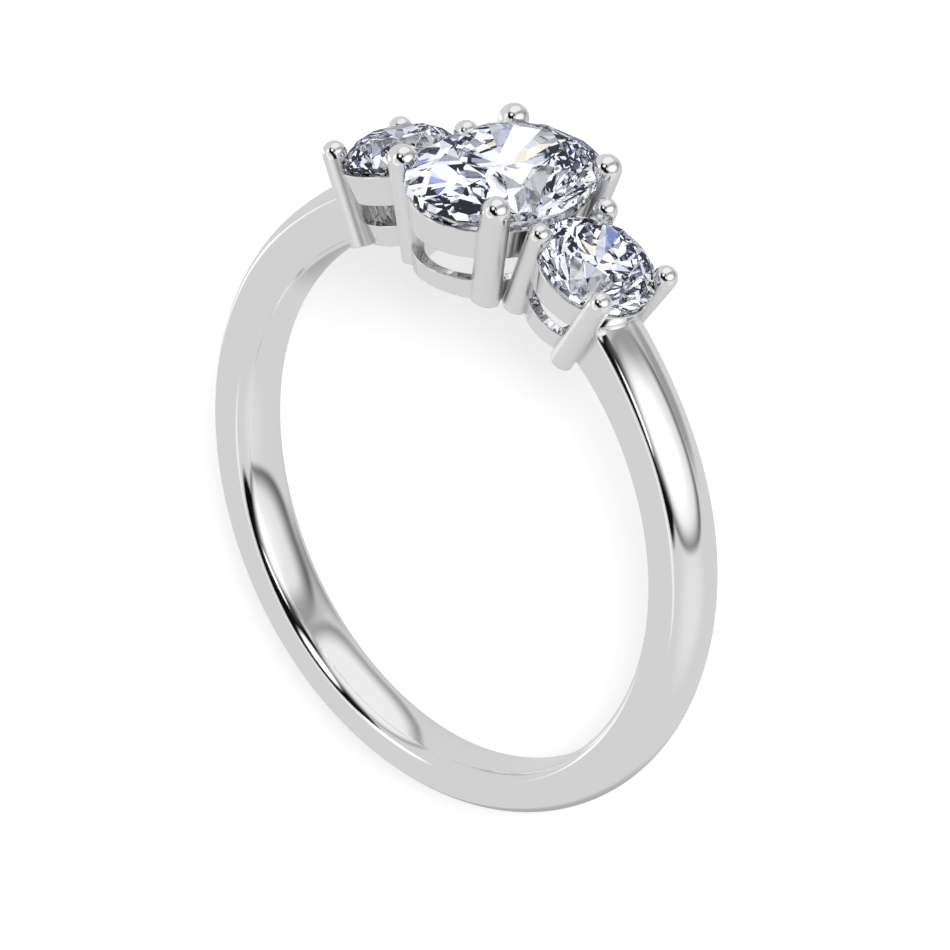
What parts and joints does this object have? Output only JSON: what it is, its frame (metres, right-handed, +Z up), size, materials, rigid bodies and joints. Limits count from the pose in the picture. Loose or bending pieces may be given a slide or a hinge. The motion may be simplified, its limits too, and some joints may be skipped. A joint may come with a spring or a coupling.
{
  "type": "three stone ring",
  "caption": "Finger ring with a domed band and open four-claw baskets that hold an oval brilliant between two smaller round ones.",
  "frame": {"origin": "centre of the finger hole, in the middle of the band's width", "axes": "+Z up from the table that the ring lies on, with the finger hole's axis leaning 6.7 degrees from it; -Y towards the head with the stones, along the ring's longest way; X across the ring"},
  "size_m": [0.0208, 0.0228, 0.007],
  "materials": {
    "silver": "polished",
    "stone": "polished"
  },
  "bodies": {
    "root": {"setting": "silver", "centre_stone": "stone", "left_stone": "stone", "right_stone": "stone"}
  },
  "joints": []
}
